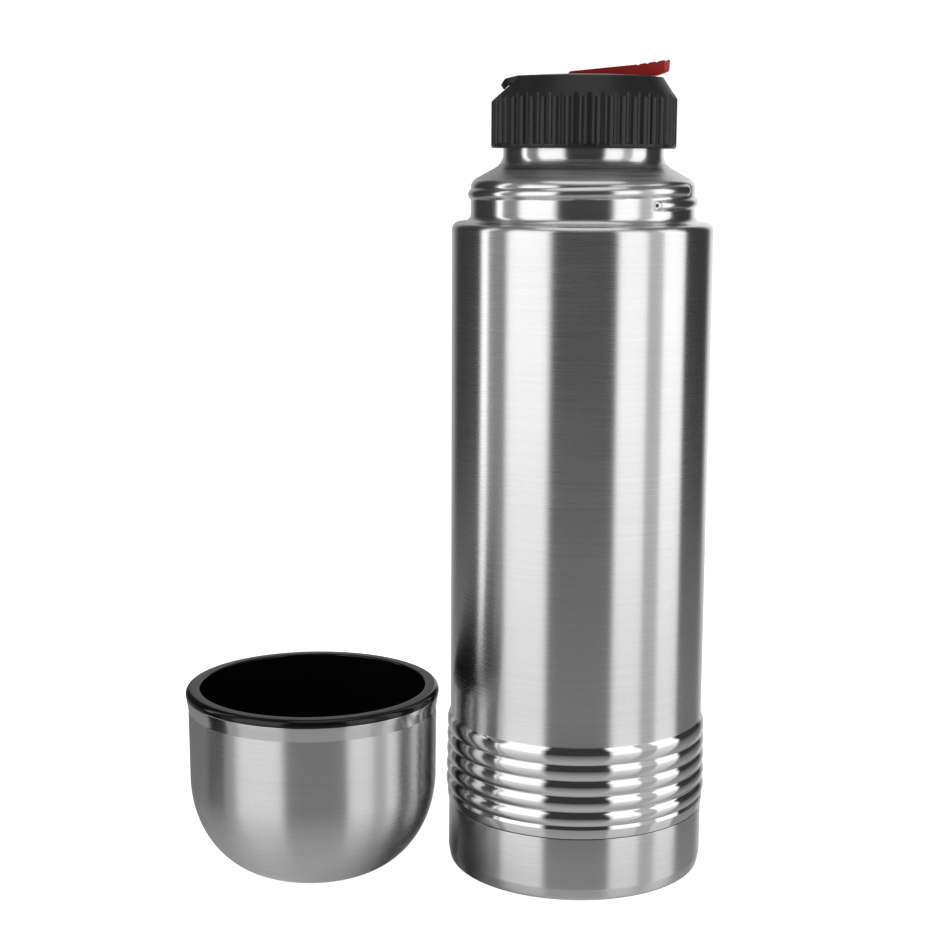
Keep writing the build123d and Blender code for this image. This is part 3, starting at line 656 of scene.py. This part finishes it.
def bar(name, outline, half_width, corner_mm, bevel_mm, material):
    """An outline in x and z, extruded both ways along y, with its +x corners cut and rounded edges."""
    shape = bmesh.new()
    near = [shape.verts.new((p.x * MM, -half_width * MM, p.y * MM)) for p in outline]
    far = [shape.verts.new((p.x * MM, half_width * MM, p.y * MM)) for p in outline]
    shape.faces.new(near)
    shape.faces.new(far[::-1])
    for n in range(len(outline)):
        after = (n + 1) % len(outline)
        shape.faces.new((near[after], near[n], far[n], far[after]))
    bmesh.ops.remove_doubles(shape, verts=shape.verts, dist=0.01 * MM)
    bmesh.ops.recalc_face_normals(shape, faces=shape.faces)
    end = max(p.x for p in outline) - corner_mm
    for side in (-1, 1):
        cut = bmesh.ops.bisect_plane(
            shape, geom=shape.verts[:] + shape.edges[:] + shape.faces[:], clear_outer=True,
            plane_co=(end * MM, side * half_width * MM, 0), plane_no=(0.75, side, 0),
        )
        rim = [e for e in cut["geom_cut"] if isinstance(e, bmesh.types.BMEdge)]
        bmesh.ops.contextual_create(shape, geom=rim)
    bmesh.ops.recalc_face_normals(shape, faces=shape.faces)
    rims = [e for e in shape.edges if e.calc_face_angle(0) > radians(50)]
    bmesh.ops.bevel(
        shape, geom=rims, offset=bevel_mm * MM, segments=4, profile=0.5, affect="EDGES", clamp_overlap=True
    )
    bmesh.ops.dissolve_degenerate(shape, edges=shape.edges, dist=0.004 * MM)
    mesh = bpy.data.meshes.new(name)
    shape.to_mesh(mesh)
    shape.free()
    piece = finished(name, mesh, [material], 40)
    piece.modifiers.new("even_shading", "WEIGHTED_NORMAL").keep_sharp = True
    return piece


lever = bar("pour_lever", lever_outline(), LEVER_HALF, LEVER_CORNER, LEVER_EDGE, red_plastic)
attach(lever, "lever")
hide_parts("lever")

# ---- finishes of the CAD's own nodes ----------------------------------------------------
NODE_FINISH = {
    "bottom_plate": plate_steel,
    "vacuum_seal": solder,
    "inner_vessel": vessel_steel,
    "inner_vessel_bottom": vessel_steel,
    "radiation_foil": copper,
    "getter": getter_metal,
    "stopper_cap": black_plastic,
    "plug_body": grey_plastic,
    "plug_base": grey_plastic,
    "plug_insulation": foam,
    "stem_seal": silicone,
    "neck_seal": silicone,
    "valve_seal": silicone,
    "valve_stem": grey_plastic,
    "spring_retainer": grey_plastic,
    "lever_pin": pin_steel,
    "valve_spring": spring_steel,
}
for node, material in NODE_FINISH.items():
    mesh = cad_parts[node].data
    mesh.materials.clear()
    mesh.materials.append(material)

# ---- studio -----------------------------------------------------------------------------
# A drum of light panels stands round the object. Each panel is (azimuth of its middle, half its
# width, brightness, half-width of its soft edge), with angles in degrees from straight in front,
# + to the right. Places and radii of stage pieces are in metres.
DRUM_R = 0.55
DRUM_TOP = 0.62
DARK = 0.045
CEILING = (0.19, 0.19, 0.195, 1)
BACKDROP = 1.05
OVERHEAD_R = 0.2
OVERHEAD_Y = -0.08
OVERHEAD_GLOW = 1.0
FLAG_X = -0.19
FLAG_Y = (-0.048, -0.008)
FLAG_TOP = 0.06
FLOOR_R = 6.0
FLOOR_Z = -0.0004
FLOOR_GLOW = 0.95
TABLE_Z = -0.0003
TABLE_GREY = 0.5
TABLE_PAINTED_SHADE = 0.05  # painted shade on the table's grey, between the flask and the cup
PAINTED_SHADE_AT = (-0.042, -0.005)
PAINTED_SHADE_R = (0.015, 0.055)
PANELS = {
    "left_softbox": (-49.8, 20.2, 1.45, 4.0),
    "left_grey_fill": (-80, 17, 0.29, 4.0),
    "left_rim_strip": (-94.3, 4.3, 1.8, 2.2),
    "back_left_wall": (-165, 15, 0.45, 12.0),
    "right_softbox": (41.2, 13.8, 1.45, 3.0),
    "right_grey_fill": (61, 12, 0.60, 4.0),
    "right_back_panel": (82.3, 13, 1.5, 2.5),
    "back_right_wall": (165, 22, 0.9, 10.0),
}


def world_light():
    """White to the camera, and a dim ceiling to everything else."""
    world = bpy.data.worlds.new("studio_world")
    bpy.context.scene.world = world
    world.use_nodes = True
    tree = world.node_tree
    ceiling = tree.nodes["Background"]
    ceiling.inputs["Color"].default_value = CEILING
    backdrop = tree.nodes.new("ShaderNodeBackground")
    backdrop.inputs["Color"].default_value = (1, 1, 1, 1)
    backdrop.inputs["Strength"].default_value = BACKDROP
    path = tree.nodes.new("ShaderNodeLightPath")
    mix = tree.nodes.new("ShaderNodeMixShader")
    tree.links.new(path.outputs["Is Camera Ray"], mix.inputs["Fac"])
    tree.links.new(ceiling.outputs["Background"], mix.inputs[1])
    tree.links.new(backdrop.outputs["Background"], mix.inputs[2])
    tree.links.new(mix.outputs["Shader"], tree.nodes["World Output"].inputs["Surface"])


def stage_material(name):
    """A material with nothing but its output, and its node tree, for a stage piece."""
    material = bpy.data.materials.new(name)
    material.use_nodes = True
    material.node_tree.nodes.remove(material.node_tree.nodes["Principled BSDF"])
    return material, material.node_tree


def drum_material():
    """Light panels by azimuth."""
    material, tree = stage_material("studio_panels")
    nodes, links = tree.nodes, tree.links
    place = nodes.new("ShaderNodeTexCoord")
    axes = nodes.new("ShaderNodeSeparateXYZ")
    links.new(place.outputs["Object"], axes.inputs["Vector"])

    def maths(operation, first, second=None):
        """One maths node; first is an output, second an output or a number."""
        step = nodes.new("ShaderNodeMath")
        step.operation = operation
        links.new(first, step.inputs[0])
        if isinstance(second, float):
            step.inputs[1].default_value = second
        elif second is not None:
            links.new(second, step.inputs[1])
        return step.outputs["Value"]

    azimuth = maths("ARCTAN2", axes.outputs["X"], maths("MULTIPLY", axes.outputs["Y"], -1.0))
    total = None
    for middle, half, bright, soft in PANELS.values():
        edge = nodes.new("ShaderNodeMapRange")
        edge.interpolation_type = "SMOOTHSTEP"
        edge.inputs["From Min"].default_value = radians(half - soft)
        edge.inputs["From Max"].default_value = radians(half + soft)
        edge.inputs["To Min"].default_value = bright
        edge.inputs["To Max"].default_value = DARK
        links.new(maths("ABSOLUTE", maths("SUBTRACT", azimuth, radians(middle))), edge.inputs["Value"])
        panel = edge.outputs["Result"]
        total = panel if total is None else maths("MAXIMUM", total, panel)
    light = nodes.new("ShaderNodeEmission")
    links.new(total, light.inputs["Strength"])
    links.new(light.outputs["Emission"], nodes["Material Output"].inputs["Surface"])
    return material


def studio_drum():
    """The panels' wall: invisible to the camera, seen in reflections."""
    sides = 96
    ring = [(DRUM_R * cos(2 * pi * n / sides), DRUM_R * sin(2 * pi * n / sides)) for n in range(sides)]
    vertices = [(x, y, z) for z in (0.0, DRUM_TOP) for x, y in ring]
    faces = [(n, n + sides, (n + 1) % sides + sides, (n + 1) % sides) for n in range(sides)]
    mesh = bpy.data.meshes.new("studio_drum")
    mesh.from_pydata(vertices, [], faces)
    mesh.materials.append(drum_material())
    drum = bpy.data.objects.new("studio_drum", mesh)
    bpy.context.scene.collection.objects.link(drum)
    drum.visible_camera = False
    drum.visible_shadow = False


def disc(name, radius, height, material):
    """A round stage piece, flat at that height."""
    shape = bmesh.new()
    bmesh.ops.create_circle(shape, cap_ends=True, segments=96, radius=radius)
    mesh = bpy.data.meshes.new(name)
    shape.to_mesh(mesh)
    shape.free()
    mesh.materials.append(material)
    piece = bpy.data.objects.new(name, mesh)
    piece.location.z = height
    bpy.context.scene.collection.objects.link(piece)
    return piece


def floor_material():
    """Pale matt floor, bright enough to meet the backdrop without a line."""
    material, tree = stage_material("pale_floor")
    matt = tree.nodes.new("ShaderNodeBsdfDiffuse")
    matt.inputs["Color"].default_value = (0.9, 0.9, 0.9, 1)
    light = tree.nodes.new("ShaderNodeEmission")
    light.inputs["Strength"].default_value = FLOOR_GLOW
    both = tree.nodes.new("ShaderNodeAddShader")
    tree.links.new(matt.outputs["BSDF"], both.inputs[0])
    tree.links.new(light.outputs["Emission"], both.inputs[1])
    tree.links.new(both.outputs["Shader"], tree.nodes["Material Output"].inputs["Surface"])
    return material


def table_material():
    """The glossy table the steel stands on: grey from above, with painted shade near the gap between the
    flask and the cup, and a mirror of the panels at a low angle.
    """
    material, tree = stage_material("grey_table")
    nodes, links = tree.nodes, tree.links
    place = nodes.new("ShaderNodeTexCoord")
    from_gap = nodes.new("ShaderNodeVectorMath")
    from_gap.operation = "DISTANCE"
    from_gap.inputs[1].default_value = (*PAINTED_SHADE_AT, 0)
    links.new(place.outputs["Object"], from_gap.inputs[0])
    # Painted shade: the table's grey darkens near the gap between the flask and the cup, where the two would
    # shade it.
    shade = nodes.new("ShaderNodeMapRange")
    shade.interpolation_type = "SMOOTHSTEP"
    shade.inputs["From Min"].default_value = PAINTED_SHADE_R[0]
    shade.inputs["From Max"].default_value = PAINTED_SHADE_R[1]
    shade.inputs["To Min"].default_value = TABLE_PAINTED_SHADE
    shade.inputs["To Max"].default_value = TABLE_GREY
    links.new(from_gap.outputs["Value"], shade.inputs["Value"])
    grey = nodes.new("ShaderNodeEmission")
    links.new(shade.outputs["Result"], grey.inputs["Strength"])
    gloss = nodes.new("ShaderNodeBsdfGlossy")
    gloss.inputs["Roughness"].default_value = 0.08
    low_angle = nodes.new("ShaderNodeLayerWeight")
    low_angle.inputs["Blend"].default_value = 0.5
    steeper = nodes.new("ShaderNodeMath")
    steeper.operation = "POWER"
    steeper.inputs[1].default_value = 1.6
    links.new(low_angle.outputs["Facing"], steeper.inputs[0])
    mix = nodes.new("ShaderNodeMixShader")
    links.new(steeper.outputs["Value"], mix.inputs["Fac"])
    links.new(grey.outputs["Emission"], mix.inputs[1])
    links.new(gloss.outputs["BSDF"], mix.inputs[2])
    links.new(mix.outputs["Shader"], nodes["Material Output"].inputs["Surface"])
    return material


def even_glow_material(strength):
    """The same brightness from every side."""
    material, tree = stage_material("even_glow")
    light = tree.nodes.new("ShaderNodeEmission")
    light.inputs["Strength"].default_value = strength
    tree.links.new(light.outputs["Emission"], tree.nodes["Material Output"].inputs["Surface"])
    return material


def flag_card():
    """A black card to the left of the cup, which darkens that side of its wall."""
    near, far = FLAG_Y
    mesh = bpy.data.meshes.new("flag_card")
    outline = [(FLAG_X, near, 0), (FLAG_X, far, 0), (FLAG_X, far, FLAG_TOP), (FLAG_X, near, FLAG_TOP)]
    mesh.from_pydata(outline, [], [(0, 1, 2, 3)])
    material, tree = stage_material("flag_black")
    black = tree.nodes.new("ShaderNodeBsdfDiffuse")
    black.inputs["Color"].default_value = (0.01, 0.01, 0.01, 1)
    tree.links.new(black.outputs["BSDF"], tree.nodes["Material Output"].inputs["Surface"])
    mesh.materials.append(material)
    card = bpy.data.objects.new("flag_card", mesh)
    bpy.context.scene.collection.objects.link(card)
    card.visible_camera = False
    card.visible_diffuse = False
    card.visible_shadow = False


world_light()
studio_drum()
flag_card()
overhead = disc("overhead_panel", OVERHEAD_R, DRUM_TOP, even_glow_material(OVERHEAD_GLOW))
overhead.location.y = OVERHEAD_Y
overhead.visible_camera = False
overhead.visible_shadow = False
floor = disc("floor", FLOOR_R, FLOOR_Z, floor_material())
floor.visible_glossy = False
floor.visible_shadow = False
table = disc("table_card", DRUM_R, TABLE_Z, table_material())
table.visible_camera = False
table.visible_diffuse = False
table.visible_shadow = False


# ---- camera -----------------------------------------------------------------------------
CAMERA_AT = Vector((-33.36, -573.46, 224.05)) * MM
PITCH = radians(9.7415)
ROLL = radians(0.2693)
camera_data = bpy.data.cameras.new("camera")
camera_data.sensor_width = 36.0
camera_data.lens = 70.56
camera_data.clip_start = 0.01
camera = bpy.data.objects.new("camera", camera_data)
bpy.context.scene.collection.objects.link(camera)
forward = Vector((0, cos(PITCH), -sin(PITCH)))
level_right, level_up = Vector((1, 0, 0)), Vector((0, sin(PITCH), cos(PITCH)))
right = level_right * cos(ROLL) + level_up * sin(ROLL)
up = level_up * cos(ROLL) - level_right * sin(ROLL)
turn = Matrix((right, up, -forward)).transposed()
camera.matrix_world = Matrix.Translation(CAMERA_AT) @ turn.to_4x4()
bpy.context.scene.camera = camera
bpy.context.scene.view_settings.view_transform = "Standard"
